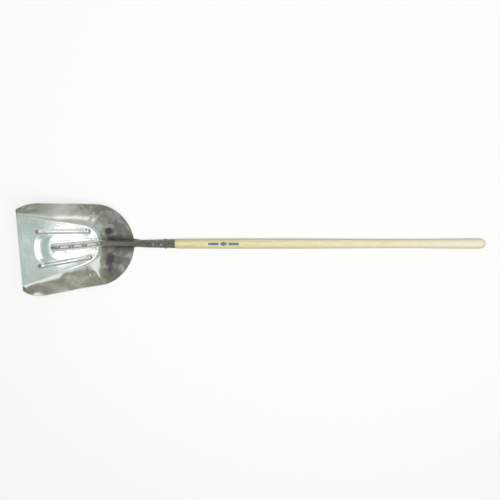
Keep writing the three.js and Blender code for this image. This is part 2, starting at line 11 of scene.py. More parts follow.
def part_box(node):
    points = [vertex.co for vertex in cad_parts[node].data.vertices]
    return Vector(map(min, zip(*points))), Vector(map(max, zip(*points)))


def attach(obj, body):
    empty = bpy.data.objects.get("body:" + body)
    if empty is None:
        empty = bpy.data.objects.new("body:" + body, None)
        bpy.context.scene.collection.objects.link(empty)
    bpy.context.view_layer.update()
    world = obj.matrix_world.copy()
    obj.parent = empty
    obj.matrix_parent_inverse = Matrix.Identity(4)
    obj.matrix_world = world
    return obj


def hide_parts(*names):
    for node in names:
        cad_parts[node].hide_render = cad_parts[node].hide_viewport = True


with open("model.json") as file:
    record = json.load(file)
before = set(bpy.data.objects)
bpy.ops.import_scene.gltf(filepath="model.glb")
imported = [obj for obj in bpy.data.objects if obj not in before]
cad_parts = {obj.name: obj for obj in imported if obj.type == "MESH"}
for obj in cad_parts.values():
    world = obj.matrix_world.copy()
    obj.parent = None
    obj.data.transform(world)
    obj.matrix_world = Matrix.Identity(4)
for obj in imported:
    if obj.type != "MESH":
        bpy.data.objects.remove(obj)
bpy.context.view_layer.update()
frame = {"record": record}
MM = 0.001

# ---------------------------------------------------------------- driving dimensions
# Millimetres, in the tool's frame: X along the handle's axis from the socket's mouth,
# Y across the blade, Z out of its hollow side. "Along" is measured on the blade's floor.

GAP = 0.3  # clearance between pieces that touch
BLADE_LIFT = math.radians(26)  # slope of the blade's floor against the handle's axis
BLADE_ORIGIN_X = -292  # where the plane of the floor meets the handle's axis
SHEET = 2.2  # thickness of the blade
LIP, REAR = -274.7, 126  # the sheet's two ends on the middle line
LIP_BEVEL, LIP_EDGE, LIP_HALF_WIDTH = 9, 0.5, 150
FLOOR_LIP_HALF_WIDTH, FLOOR_REAR_HALF_WIDTH = 129, 70
FLOOR_SIDE_END, FLOOR_REAR, FLOOR_END_POWER = -50, 0, 2.4
SIDE_HALF_WIDTH, SIDE_TAPER, FRONT_CURVE = 154, 0.078, -196
REAR_WIDTH_POWER = 1.9
SIDE_WALL_HEIGHT, REAR_WALL_HEIGHT = 23.7, 56
SIDE_SHARE = 0.55  # how much of each half of the rim is its side, from the lip
SIDE_FOLD_SOFTNESS, REAR_FOLD_SOFTNESS = 14, 220
LIP_RISE = 0.03  # share of the rim over which the wall comes up at the lip
REAR_RISE_START, REAR_RISE_END, REAR_FOLD_END = 0.3, 0.95, 0.9  # shares of the rim

RIB_FRONT, RIB_REAR = (-204, 63.5), (-32, 50)
RIB_RADIUS, RIB_BULB_RADIUS, RIB_HEIGHT, RIB_FLAT_SHARE = 8.4, 10.6, 2.2, 0.35
BULB_RAISE = 1.12  # height of an end bulb against its rib
BULB_BLEND_START, BULB_BLEND_END = 2, 9  # distances from a rib's end

SOCKET_ROOT_X, SOCKET_NOSE = -122, 7
SOCKET_ROOT_RADIUS, SOCKET_MOUTH_RADIUS, SOCKET_WALL = 14.2, 17.3, 1.7
BORE_END_X, BORE_END_RADIUS = -90, 12
SEAM_START, SEAM_END, SEAM_DEPTH, SEAM_HALF_WIDTH = -118, -94, 4.4, 4.2
SHANK_RADIUS = 11
TONGUE_TIP, TONGUE_HALF_WIDTH, TONGUE_EDGE = -167, 15, 2.6
TONGUE_BEAD_HALF_WIDTH, TONGUE_BEAD_HEIGHT = 8, 8
CREST_BEND_X, CREST_AT_BEND, RIVET_SEAT_DEPTH = -283, 4, 1.4

STRAP_FRONT, STRAP_THICKNESS, STRAP_END_X = -66, 3, -100
STRAP_SPARE = 0.46  # taken off the strap's thickness, so that it stays clear of the ground
STRAP_HALF_WIDTH, STRAP_ROOT_HALF_WIDTH, STRAP_END_HALF_WIDTH = 15, 17, 8

TENON_END_X, HANDLE_END_X = -88, 1167
HANDLE_STATIONS = (
    (4, 17.4), (12, 18.5), (120, 18.9), (320, 19.3), (500, 18.8), (658, 18.1),
    (750, 17.6), (846, 17.3), (930, 17.6), (1020, 18.6), (1109, 19.3), (1142, 19.1),
)
BLADE_RIVETS = (-144, -96.5, -50, 3.5)
BLADE_RIVET = {"shank": 3.2, "head": 6.0, "rise": 2.6}
SOCKET_RIVETS, CROSS_RIVET_X = (-81, -51), -34.5
SOCKET_RIVET = {"shank": 2.6, "head": 5.4, "rise": 1.6}

# ---------------------------------------------------------------- where the tool lies

mount_axis = Vector(frame["record"]["mounts"][0]["axis"])
TILT = math.atan2(-mount_axis.x, -mount_axis.z) - BLADE_LIFT
END_SWELL_X, END_SWELL_RADIUS = HANDLE_STATIONS[-2]
tool_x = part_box("handle")[1][0] / MM - HANDLE_END_X * math.cos(TILT)
tool_z = END_SWELL_X * math.sin(TILT) + END_SWELL_RADIUS * math.cos(TILT)
TOOL = Matrix.Translation((tool_x * MM, 0, tool_z * MM)) @ Matrix.Rotation(TILT, 4, "Y")
FLOOR = TOOL @ Matrix.Translation((BLADE_ORIGIN_X * MM, 0, 0)) @ Matrix.Rotation(BLADE_LIFT, 4, "Y")


def smoothstep(value, low, high):
    """0 below low, 1 above high and a smooth S between them."""
    t = np.clip((value - low) / (high - low), 0, 1)
    return t * t * (3 - 2 * t)


def lerp(a, b, t):
    """From a to b as t goes from 0 to 1."""
    return a + (b - a) * t


# ---------------------------------------------------------------- mesh making

WELD_DISTANCE, COLLAPSED_LENGTH = 1e-6, 1e-7


def make_piece(name, points, faces, place, sharp=35):
    """A smooth-shaded object from points in millimetres, put in place in the frame. Edges
    over the sharp angle, in degrees, stay crisp."""
    mesh = bpy.data.meshes.new(name)
    matrix = np.array(place)
    points = np.asarray(points, dtype=float) * MM
    world = points @ matrix[:3, :3].T + matrix[:3, 3]
    mesh.from_pydata(world.tolist(), [], faces)
    weld_mesh(mesh)
    mesh.polygons.foreach_set("use_smooth", [True] * len(mesh.polygons))
    mesh.set_sharp_from_angle(angle=math.radians(sharp))
    piece = bpy.data.objects.new(name, mesh)
    bpy.context.scene.collection.objects.link(piece)
    return piece


def weld_mesh(mesh):
    """Merges shared points, drops collapsed faces and turns every face outwards."""
    work = bmesh.new()
    work.from_mesh(mesh)
    bmesh.ops.remove_doubles(work, verts=work.verts, dist=WELD_DISTANCE)
    bmesh.ops.dissolve_degenerate(work, edges=work.edges, dist=COLLAPSED_LENGTH)
    bmesh.ops.recalc_face_normals(work, faces=work.faces)
    work.to_mesh(mesh)
    work.free()


def grid_faces(rows, columns, close_rows=False, close_columns=False):
    """Quads between neighbouring points of a grid stored row by row."""
    faces = []
    for i in range(rows if close_rows else rows - 1):
        for j in range(columns if close_columns else columns - 1):
            a, b = i * columns + j, i * columns + (j + 1) % columns
            c, d = ((i + 1) % rows) * columns + (j + 1) % columns, ((i + 1) % rows) * columns + j
            faces.append((a, b, c, d))
    return faces


def loft(rings):
    """Points and faces of a closed skin through rings of equal length, with fans as ends."""
    count = len(rings[0])
    points = [tuple(p) for ring in rings for p in ring]
    faces = grid_faces(len(rings), count, close_columns=True)
    for ring, start in ((rings[0], 0), (rings[-1], (len(rings) - 1) * count)):
        points.append(tuple(np.mean(np.asarray(ring), axis=0)))
        centre = len(points) - 1
        faces += [(centre, start + j, start + (j + 1) % count) for j in range(count)]
    return points, faces


def turned(outline, segments):
    """Rings for an outline of (x, radius) pairs turned about the X axis."""
    angles = np.arange(segments) * 2 * math.pi / segments
    return [[(x, r * math.cos(a), r * math.sin(a)) for a in angles] for x, r in outline]


# ---------------------------------------------------------------- blade surface


def floor_half_width(along):
    """Half width of the flat floor between its tapering sides."""
    t = (along - LIP) / (FLOOR_SIDE_END - LIP)
    return lerp(FLOOR_LIP_HALF_WIDTH, FLOOR_REAR_HALF_WIDTH, t)


def fold_at(share):
    """Place on the flat floor's outline. Share is 0 at the lip and 1 at the rear."""
    if share < SIDE_SHARE:
        along = lerp(LIP, FLOOR_SIDE_END, share / SIDE_SHARE)
        return along, floor_half_width(along)
    phase = (share - SIDE_SHARE) / (1 - SIDE_SHARE) * math.pi / 2
    length = math.sin(phase) ** (2 / FLOOR_END_POWER)
    narrowing = max(0.0, math.cos(phase)) ** (2 / FLOOR_END_POWER)
    along = lerp(FLOOR_SIDE_END, FLOOR_REAR, length)
    return along, floor_half_width(along) * narrowing


def rim_at(share):
    """Place on the rim and its height above the floor's plane."""
    phase = max(0.0, share - SIDE_SHARE) / (1 - SIDE_SHARE) * math.pi / 2
    along = lerp(LIP, 0, share / SIDE_SHARE) if share < SIDE_SHARE else REAR * math.sin(phase)
    width = SIDE_HALF_WIDTH - SIDE_TAPER * along
    turn_in = max(0.0, FRONT_CURVE - along) / (FRONT_CURVE - LIP)
    lip_drop = SIDE_HALF_WIDTH - SIDE_TAPER * LIP - LIP_HALF_WIDTH
    across = width * max(0.0, math.cos(phase)) ** (2 / REAR_WIDTH_POWER) - lip_drop * turn_in**2
    rise = REAR_WALL_HEIGHT - SIDE_WALL_HEIGHT
    height = SIDE_WALL_HEIGHT * (1 - math.exp(-share / LIP_RISE))
    height += rise * smoothstep(share, REAR_RISE_START, REAR_RISE_END)
    return along, across, float(height)


def wall_height(share, distance, reach, height):
    """Height of the wall at a distance outside the floor's outline."""
    toward_rear = smoothstep(share, REAR_RISE_START, REAR_FOLD_END)
    softness = lerp(SIDE_FOLD_SOFTNESS, REAR_FOLD_SOFTNESS, toward_rear)
    bend = np.hypot(distance, softness) - softness
    return height * bend / (math.hypot(reach, softness) - softness)


def middle_height(along):
    """Height of the sheet's upper face on the middle line."""
    if along <= FLOOR_REAR:
        return 0.0
    return float(wall_height(1, along - FLOOR_REAR, REAR - FLOOR_REAR, REAR_WALL_HEIGHT))


def rib_height(along, across):
    """Height pressed into the floor by the ribs and their end bulbs."""
    start, end = np.array(RIB_FRONT), np.array(RIB_REAR)
    axis = end - start
    length = np.linalg.norm(axis)
    px, py = along - start[0], np.abs(across) - start[1]
    t = np.clip((px * axis[0] + py * axis[1]) / length**2, 0, 1)
    away = np.hypot(px - t * axis[0], py - t * axis[1])
    to_end = np.minimum(t, 1 - t) * length
    past_bulb = smoothstep(to_end, BULB_BLEND_START, BULB_BLEND_END)
    radius = lerp(RIB_BULB_RADIUS, RIB_RADIUS, past_bulb)
    height = RIB_HEIGHT * lerp(BULB_RAISE, 1.0, past_bulb)
    return height * (1 - smoothstep(away / radius, RIB_FLAT_SHARE, 1))


TROUGH_MIDDLE, TROUGH_RADIUS, TROUGH_HALF_WIDTH, TROUGH_DEPTH = -128, 74, 24, 0.62
TROUGH_HORN_START, TROUGH_HORN_END = 34, 58


def trough_depth(along, across):
    """The shallow crescent pressed into the floor ahead of the tongue's tip."""
    away = np.hypot(along - TROUGH_MIDDLE, across)
    reach = np.clip(np.abs(away - TROUGH_RADIUS) / TROUGH_HALF_WIDTH, 0, 1)
    ahead = smoothstep(TROUGH_MIDDLE - along, 0, TROUGH_RADIUS / 2)
    ahead = ahead * (1 - smoothstep(np.abs(across), TROUGH_HORN_START, TROUGH_HORN_END))
    return TROUGH_DEPTH * (1 - reach**2) ** 2 * ahead


COLUMNS_PER_SIDE, FLOOR_ROWS, WALL_ROWS, EDGE_STEPS = 150, 110, 60, 6
BEVEL_COLUMNS = 3
WALL_ROW_SPREAD = 1.15  # over 1 packs the rows closer at the fold
HUB_X, HUB_SHIFT = -60, 20  # the rear's columns start here on the middle line, spread by the shift


def blade_surface():
    """The sheet's middle-to-rim grid on its upper face: an array of columns, rows, 3."""
    bevel_share = LIP_BEVEL / (FLOOR_SIDE_END - LIP) * SIDE_SHARE
    near_lip = np.linspace(0, bevel_share, BEVEL_COLUMNS + 1)[:-1]
    beyond = np.linspace(bevel_share, 1, COLUMNS_PER_SIDE - BEVEL_COLUMNS + 1)
    half = np.concatenate([near_lip, beyond])
    shares = np.concatenate([half, half[-2::-1]])
    middle_column = len(half) - 1
    floor_places = np.arange(FLOOR_ROWS) / FLOOR_ROWS
    wall_places = (np.arange(WALL_ROWS + 1) / WALL_ROWS) ** WALL_ROW_SPREAD
    grid = np.zeros((len(shares), FLOOR_ROWS + WALL_ROWS + 1, 3))
    for i, share in enumerate(shares):
        side = -1 if i <= middle_column else 1
        fold_along, fold_across = fold_at(share)
        middle = lerp(LIP, HUB_X, min(1, share / SIDE_SHARE)) + HUB_SHIFT * max(0, share - SIDE_SHARE)
        grid[i, :FLOOR_ROWS, 0] = lerp(middle, fold_along, floor_places)
        grid[i, :FLOOR_ROWS, 1] = side * fold_across * floor_places
        rim_along, rim_across, rim_height = rim_at(share)
        reach = math.hypot(rim_along - fold_along, rim_across - fold_across)
        t = wall_places * (1 - SHEET / 2 / reach)
        grid[i, FLOOR_ROWS:, 0] = lerp(fold_along, rim_along, t)
        grid[i, FLOOR_ROWS:, 1] = side * lerp(fold_across, rim_across, t)
        grid[i, FLOOR_ROWS:, 2] = wall_height(share, t * reach, reach, rim_height)
        if i == middle_column:
            grid[i, :, 1] = 0
    grid[..., 2] += rib_height(grid[..., 0], grid[..., 1]) - trough_depth(grid[..., 0], grid[..., 1])
    return grid, shares


def grid_normals(grid):
    """Unit normals of a grid's points, pointing up out of the pan."""
    du, dv = np.gradient(grid, axis=0), np.gradient(grid, axis=1)
    normals = np.cross(du, dv)
    normals /= np.maximum(np.linalg.norm(normals, axis=2, keepdims=True), 1e-12)
    return normals * np.where(normals[..., 2:] < 0, -1, 1)


BROAD_WAVE, SMALL_WAVE, CRUMPLE_WAVE = 0.26, 0.21, 0.17
FAN_WAVE_MINUS_Y, FAN_WAVE_PLUS_Y, FAN_SIDE_BLEND = 0.10, 0.36, 30
FAN_X, FAN_CREASES, FAN_START = -62, 19, -60
FAN_INNER, FAN_FULL, FAN_FADING, FAN_OUTER = 70, 110, 135, 185  # distances from the fan's middle
CRUMPLE_LENGTH, CRUMPLE_SKEW, CRUMPLE_SIDE = 5.2, 2.2, 60
CRUMPLE_START, CRUMPLE_FULL, CRUMPLE_FADING, CRUMPLE_END = -150, -90, -35, 25
WALL_WAVE_START, WALL_WAVE_END = 3, 14  # heights
REAR_WAVE_START, REAR_WAVE_END = -150, -60
CALM_RIM_ROWS, CALM_LIP_SHARE = 0.93, 0.04
TONGUE_BED_HALF_WIDTH, TONGUE_BED_START, TONGUE_BED_END, TONGUE_BED_CALM = 22, -185, -165, 0.9


def creases(along, across):
    """Creases that fan out from the floor's rear, where the sheet was drawn up into the back."""
    bearing = np.arctan2(across, along - FAN_X)
    away = np.hypot(along - FAN_X, across)
    fan = np.sin(bearing * FAN_CREASES + 1.5 * np.sin(bearing * 5)) * smoothstep(away, FAN_INNER, FAN_FULL)
    fan = fan * (1 - smoothstep(away, FAN_FADING, FAN_OUTER)) * smoothstep(along, FAN_START, 0)
    side = smoothstep(across, -FAN_SIDE_BLEND, FAN_SIDE_BLEND)
    return lerp(FAN_WAVE_MINUS_Y, FAN_WAVE_PLUS_Y, side) * fan


def crumples(along, across, walls):
    """Short ripples in the wall on the +Y side, where the sheet was squeezed."""
    crumple = np.sin(along / CRUMPLE_LENGTH + CRUMPLE_SKEW * np.sin(across / 21 + along / 37))
    from_front = smoothstep(along, CRUMPLE_START, CRUMPLE_FULL)
    corner = from_front * (1 - smoothstep(along, CRUMPLE_FADING, CRUMPLE_END)) * walls
    return CRUMPLE_WAVE * crumple * (corner * smoothstep(across, 0, CRUMPLE_SIDE))


def sheet_waviness(grid, shares):
    """Small unevenness of pressed sheet: broad waves on the floor, shorter ones on the walls,
    a fan of creases at the rear and a crumpled stretch of one wall. The lip, the rim and the
    tongue's bed stay calm."""
    along, across, up = grid[..., 0], grid[..., 1], grid[..., 2]
    flat = grid.reshape(-1, 3)
    broad = np.array([noise.noise(Vector((p[0] / 52, abs(p[1] + 3) / 47, 3.1 + p[1] / 300))) for p in flat])
    small = np.array([noise.noise(Vector((p[0] / 19, p[1] / 15, 9.7))) for p in flat])
    walls = smoothstep(up, WALL_WAVE_START, WALL_WAVE_END)
    rear = smoothstep(along, REAR_WAVE_START, REAR_WAVE_END)
    wave = BROAD_WAVE * broad.reshape(walls.shape) + SMALL_WAVE * walls * rear * small.reshape(walls.shape)
    wave = wave + creases(along, across) + crumples(along, across, walls)
    rows = np.arange(grid.shape[1]) / (grid.shape[1] - 1)
    near_rim = smoothstep(rows, CALM_RIM_ROWS, 1.0)[None, :]
    calm = (1 - near_rim) * smoothstep(shares, 0, CALM_LIP_SHARE)[:, None]
    bed = (np.abs(across) < TONGUE_BED_HALF_WIDTH) * smoothstep(along, TONGUE_BED_START, TONGUE_BED_END)
    return wave * calm * (1 - TONGUE_BED_CALM * bed)


def build_blade():
    """One closed sheet: the upper face, a rounded edge and the underside, column by column."""
    grid, shares = blade_surface()
    columns = len(grid)
    normals = grid_normals(grid)
    middle = columns // 2
    normals[middle, :, 1] = 0
    # Both sides share the points on the middle line, where the floor is flat.
    normals[:, 0] = (0, 0, 1)
    normals /= np.linalg.norm(normals, axis=2, keepdims=True)
    top = grid + normals * sheet_waviness(grid, shares)[..., None]
    from_lip = (grid[..., 0] - LIP) / LIP_BEVEL
    thickness = lerp(LIP_EDGE, SHEET, np.clip(from_lip, 0, 1))
    bottom = top - normals * thickness[..., None]
    outward = grid[:, -1] - grid[:, -2]
    outward /= np.linalg.norm(outward, axis=1, keepdims=True)
    half = thickness[:, -1:] / 2
    centre = top[:, -1] - normals[:, -1] * half
    edge = []
    for step in range(1, EDGE_STEPS):
        angle = math.pi / 2 - math.pi * step / EDGE_STEPS
        edge.append(centre + half * (outward * math.cos(angle) + normals[:, -1] * math.sin(angle)))
    loop = np.concatenate([top, np.stack(edge, axis=1), bottom[:, ::-1]], axis=1)
    count = loop.shape[1]
    faces = grid_faces(columns, count)
    for column in (0, columns - 1):
        for j in range(count // 2 + count % 2 - 1):
            a, b = column * count + j, column * count + j + 1
            c, d = column * count + count - 2 - j, column * count + count - 1 - j
            faces.append((a, b, c, d) if b != c else (a, b, d))
    return make_piece("scoop_blade", loop.reshape(-1, 3), faces, FLOOR, sharp=50)


# ---------------------------------------------------------------- socket and tongue


def floor_to_tool(along, up):
    """X and Z in the tool's frame of a point over the middle line of the floor."""
    x = BLADE_ORIGIN_X + along * math.cos(BLADE_LIFT) + up * math.sin(BLADE_LIFT)
    return x, -along * math.sin(BLADE_LIFT) + up * math.cos(BLADE_LIFT)


SECTION_TOP, SECTION_BOTTOM = 60, 24  # steps over and under a cross-section
BEAD_FLAT_SHARE = 0.42
EDGE_CORNER, EDGE_CORNER_SHARE = 1.0, 0.45
BEAD_TIP_START, BEAD_TIP_END, BEAD_TIP_POWER, BEAD_LEAST = 3, 20, 0.6, 0.05
SHANK_START, SHANK_END, CREST_START = -15, 30, -40  # along the floor
CREST_BLEND = 1.2
SEAT_INNER, SEAT_OUTER, SEAT_LIMIT = 6.4, 8.4, 8.5
TIP_STEPS, TONGUE_STEPS, EDGE_CROSSING_STEPS, NOSE_STEPS, SLEEVE_STEPS, BORE_STEPS = 14, 190, 16, 8, 110, 14
NOSE_STEP_IN, NOSE_SHOULDER = 0.8, 0.6


def bar_section(x, bottom, sag, half_width, edge_top, bead_half_width, top, roundness):
    """A cross-section square to the handle's axis. Roundness 0 gives a soft pressed bead and
    1 a half-round bar."""
    ring = []
    for i in range(SECTION_BOTTOM):
        angle = math.pi * (1 - i / SECTION_BOTTOM)
        ring.append((x, half_width * math.cos(angle), bottom - sag * math.sin(angle)))
    corner = min(EDGE_CORNER, (edge_top - bottom) * EDGE_CORNER_SHARE)
    for i in range(SECTION_TOP + 1):
        y = half_width * math.cos(math.pi * i / SECTION_TOP)
        u = min(1.0, abs(y) / bead_half_width)
        pressed = 1 - float(smoothstep(u, BEAD_FLAT_SHARE, 1))
        profile = lerp(pressed, math.sqrt(1 - u * u), roundness)
        into = max(0.0, corner - (half_width - abs(y)))
        drop = corner - math.sqrt(max(0.0, corner**2 - into**2))
        ring.append((x, y, edge_top + (top - edge_top) * profile - drop * (1 - roundness)))
    return ring


def tongue_ring(along):
    """The tongue's section over the floor, growing into the shank's round bar at the rear."""
    x, foot = floor_to_tool(along, middle_height(along))
    from_tip = min(1.0, (along - TONGUE_TIP) / TONGUE_HALF_WIDTH)
    rounding = math.sqrt(max(0.0, 1 - (1 - from_tip) ** 2))
    edge = TONGUE_EDGE * lerp(0.5, 1, rounding)
    merge = float(smoothstep(along, SHANK_START, SHANK_END))
    bead = float(smoothstep(along, TONGUE_TIP + BEAD_TIP_START, TONGUE_TIP + BEAD_TIP_END))
    bead = max(bead**BEAD_TIP_POWER, BEAD_LEAST)
    bead_half_width = lerp(TONGUE_BEAD_HALF_WIDTH * (0.4 + 0.6 * bead) * rounding, SHANK_RADIUS, merge)
    half_width = lerp(TONGUE_HALF_WIDTH * rounding, SHANK_RADIUS + 0.6, merge)
    tilt_up = 1 / math.cos(BLADE_LIFT)
    bottom = foot + GAP * tilt_up
    edge_top = foot + (GAP + edge) * tilt_up
    bead_top = foot + lerp(GAP + edge, TONGUE_BEAD_HEIGHT, bead) * tilt_up
    crest = lerp(CREST_AT_BEND, SHANK_RADIUS, float(smoothstep(x, CREST_BEND_X, SOCKET_ROOT_X)))
    top = bead_top
    if along > CREST_START:
        # A smooth maximum of the two heights.
        top = crest + CREST_BLEND * math.log1p(math.exp((bead_top - crest) / CREST_BLEND))
    return bar_section(x, bottom, 0, half_width, edge_top, bead_half_width, top, merge)


def seat_rivets(ring):
    """Presses flat round seats for the blade rivets' heads into the bead."""
    seated = []
    for x, y, z in ring:
        dx = x - BLADE_ORIGIN_X
        along = dx * math.cos(BLADE_LIFT) - z * math.sin(BLADE_LIFT)
        up = dx * math.sin(BLADE_LIFT) + z * math.cos(BLADE_LIFT)
        seat = TONGUE_BEAD_HEIGHT - RIVET_SEAT_DEPTH
        for rivet in BLADE_RIVETS:
            away = math.hypot(along - rivet, y)
            if up > seat and away < SEAT_LIMIT:
                up = lerp(seat, up, float(smoothstep(away, SEAT_INNER, SEAT_OUTER)))
        seat_x, seat_z = floor_to_tool(along, up)
        seated.append((seat_x, y, seat_z))
    return seated


def socket_radius(x):
    """Outer radius of the tapering socket."""
    return lerp(SOCKET_ROOT_RADIUS, SOCKET_MOUTH_RADIUS, (x - SOCKET_ROOT_X) / -SOCKET_ROOT_X)


def round_ring(x, radius):
    """A circle whose points follow the order of bar_section."""
    ring = []
    for i in range(SECTION_BOTTOM):
        angle = math.pi * (1 + i / SECTION_BOTTOM)
        ring.append((x, radius * math.cos(angle), radius * math.sin(angle)))
    for i in range(SECTION_TOP + 1):
        angle = math.pi * i / SECTION_TOP
        ring.append((x, radius * math.cos(angle), radius * math.sin(angle)))
    return ring


def cut_seam(ring):
    """The closing seam: a V-shaped groove in the top of the socket's root."""
    x = ring[0][0]
    share = max(0.0, 1 - abs(2 * x - SEAM_START - SEAM_END) / (SEAM_END - SEAM_START)) ** 0.7
    cut = []
    for px, y, z in ring:
        inside = max(0.0, 1 - abs(y) / (SEAM_HALF_WIDTH * (0.45 + 0.55 * share)))
        cut.append((px, y, z - (SEAM_DEPTH * share * inside if z > 0 else 0)))
    return cut


def tongue_and_shank_rings():
    """Rings from the tongue's tip, up the back of the pan, to just inside its rear rim."""
    rings = []
    for i in range(TIP_STEPS):
        turn = (i + 0.3) / TIP_STEPS * math.pi / 2
        rings.append(tongue_ring(TONGUE_TIP + TONGUE_HALF_WIDTH * (1 - math.cos(turn))))
    for i in range(TONGUE_STEPS + 1):
        rings.append(tongue_ring(lerp(TONGUE_TIP + TONGUE_HALF_WIDTH, REAR - 1, i / TONGUE_STEPS)))
    return [seat_rivets(ring) for ring in rings]


def root_rings(over_edge):
    """Rings from the shank's last one, over the rear rim, to the socket's round root."""
    rings = []
    start_x = over_edge[0, 0]
    root_x = SOCKET_ROOT_X - SOCKET_NOSE
    nose_radius = SOCKET_ROOT_RADIUS - NOSE_STEP_IN
    root = np.array(round_ring(root_x, nose_radius))
    for i in range(1, EDGE_CROSSING_STEPS + 1):
        t = i / EDGE_CROSSING_STEPS
        ring = lerp(over_edge, root, float(smoothstep(t, 0, 1)))
        ring[:, 0] = lerp(start_x, root_x, t)
        rings.append(ring)
    for i in range(1, NOSE_STEPS + 1):
        t = i / NOSE_STEPS
        radius = socket_radius(root_x) + NOSE_SHOULDER * float(smoothstep(t, 0, 1)) - NOSE_SHOULDER
        rings.append(round_ring(root_x + SOCKET_NOSE * t, lerp(nose_radius, radius, t)))
    return rings


def sleeve_rings():
    """Rings of the tapering sleeve, its rounded mouth and the bore inside it."""
    rings = []
    for x in np.linspace(SOCKET_ROOT_X, -1.2, SLEEVE_STEPS)[1:]:
        rings.append(cut_seam(round_ring(x, socket_radius(x))))
    mouth = SOCKET_MOUTH_RADIUS
    for x, radius in ((-0.7, mouth - 0.05), (-0.25, mouth - 0.3), (0, mouth - 0.75)):
        rings.append(round_ring(x, radius))
    inner = mouth - SOCKET_WALL
    for x, radius in ((0, inner + 0.3), (-0.3, inner)):
        rings.append(round_ring(x, radius))
    for t in np.linspace(0, 1, BORE_STEPS)[1:]:
        rings.append(round_ring(lerp(-0.3, BORE_END_X, t), lerp(inner, BORE_END_RADIUS, t)))
    return rings


def build_socket():
    rings = tongue_and_shank_rings()
    rings += root_rings(np.array(rings[-1]))
    rings += sleeve_rings()
    points, faces = loft(rings)
    return make_piece("socket_forging", points, faces, TOOL, sharp=40)


# ---------------------------------------------------------------- back strap

STRAP_EDGE_STEPS, STRAP_TIP_RINGS, STRAP_RINGS, STRAP_END_RINGS = 8, 14, 110, 30
STRAP_TIP_LENGTH, STRAP_FLARE_START = 16, 85
STRAP_CLEARANCE = 0.8  # between the strap's end and the underside of the socket
STRAP_SHEET_SPARE = 0.1  # more room under the sheet than the gap


def strap_ring(x, top, half_width):
    """A flat bar's cross-section with rounded edges."""
    radius = (STRAP_THICKNESS - STRAP_SPARE) / 2
    ring = []
    for side in (1, -1):
        for i in range(STRAP_EDGE_STEPS + 1):
            angle = math.pi / 2 - math.pi * i / STRAP_EDGE_STEPS
            y = half_width - radius + radius * math.cos(angle)
            ring.append((x, side * y, top - radius + side * radius * math.sin(angle)))
    return ring


def build_strap():
    """A bar that follows the sheet's underside, then runs on to the underside of the socket."""
    rings = []
    below = (SHEET + GAP) / math.cos(BLADE_LIFT) + STRAP_SHEET_SPARE
    tip = STRAP_FRONT + STRAP_TIP_LENGTH * np.linspace(0.002, 1, STRAP_TIP_RINGS) ** 2
    run = np.linspace(STRAP_FRONT + STRAP_TIP_LENGTH + 1, REAR - 0.5, STRAP_RINGS)
    for along in np.concatenate([tip, run]):
        x, foot = floor_to_tool(along, middle_height(along))
        from_tip = min(1.0, (along - STRAP_FRONT + 1.5) / STRAP_HALF_WIDTH)
        rounding = math.sqrt(1 - (1 - from_tip) ** 2)
        flare = float(smoothstep(along, STRAP_FLARE_START, REAR))
        half_width = lerp(STRAP_HALF_WIDTH * rounding, STRAP_ROOT_HALF_WIDTH, flare)
        rings.append(strap_ring(x, foot - below, half_width))
    start_x, start_top = rings[-1][0][0], foot - below
    under = -SOCKET_ROOT_RADIUS - STRAP_CLEARANCE
    for t in np.linspace(0, 1, STRAP_END_RINGS)[1:]:
        x = lerp(start_x, STRAP_END_X, t)
        top = lerp(start_top, under, float(smoothstep(t, 0, 0.5))) - 0.6 * max(0, t - 0.5)
        half_width = lerp(STRAP_ROOT_HALF_WIDTH, STRAP_END_HALF_WIDTH, float(smoothstep(t, 0, 0.8)))
        rings.append(strap_ring(x, top, half_width))
    points, faces = loft(rings)
    return make_piece("strap_bar", points, faces, TOOL, sharp=60)


# ---------------------------------------------------------------- handle and rivets

HANDLE_RINGS, HANDLE_SEGMENTS, HANDLE_END_RINGS = 260, 96, 22
SMOOTHING_SPAN = 12  # rings on each side over which the outline is averaged
HANDLE_START = 8  # how far past its first station the shaft's own outline starts
END_ROUNDNESS = 0.85  # under 1 makes the end blunter than a hemisphere
SHAVING = 0.004  # unevenness of the shaved shaft against its radius
RIVET_SEGMENTS, RIVET_DOME_RINGS = 48, 12
HEAD_EDGE, HEAD_SKIRT, HEAD_FLATTENING, HEAD_UNEVENNESS = 0.25, 0.5, 0.12, 0.02
HEAD_LEAST_RADIUS = 0.15
RIVET_SINK = 0.25  # how far the socket's rivet heads sit into the socket


def build_handle():
    """A tapering tenon, a shoulder at the socket's mouth, the swelling shaft and a blunt end."""
    stations = np.array(HANDLE_STATIONS, dtype=float)
    xs = np.linspace(stations[0, 0] + HANDLE_START, stations[-1, 0], HANDLE_RINGS)
    radii = np.interp(xs, stations[:, 0], stations[:, 1])
    kernel = np.hanning(2 * SMOOTHING_SPAN + 1)
    padded = np.pad(radii, SMOOTHING_SPAN, mode="edge")
    radii = np.convolve(padded, kernel / kernel.sum(), mode="valid")
    first, last = radii[0], radii[-1]
    inner = SOCKET_MOUTH_RADIUS - SOCKET_WALL - GAP
    outline = [(TENON_END_X, BORE_END_RADIUS - GAP - 1), (TENON_END_X + 1, BORE_END_RADIUS - GAP)]
    outline += [(GAP, inner), (GAP + 0.4, inner + 1.2), (2, lerp(inner, first, 0.72))]
    outline += [(5, lerp(inner, first, 0.9)), (9, first - 0.15)]
    outline += list(zip(xs, radii))
    for turn in np.linspace(0, math.pi / 2, HANDLE_END_RINGS)[1:-1]:
        reach = xs[-1] + (HANDLE_END_X - xs[-1]) * math.sin(turn)
        outline.append((reach, last * math.cos(turn) ** END_ROUNDNESS))
    outline.append((HANDLE_END_X - 0.02, 0.6))
    rings = []
    for ring in turned(outline, HANDLE_SEGMENTS):
        uneven = []
        for x, y, z in ring:
            swell = 1 - SHAVING * abs(noise.noise(Vector((x / 130, y / 30, z / 30))))
            uneven.append((x, y * swell, z * swell))
        rings.append(uneven)
    points, faces = loft(rings)
    return make_piece("ash_handle", points, faces, TOOL, sharp=40)


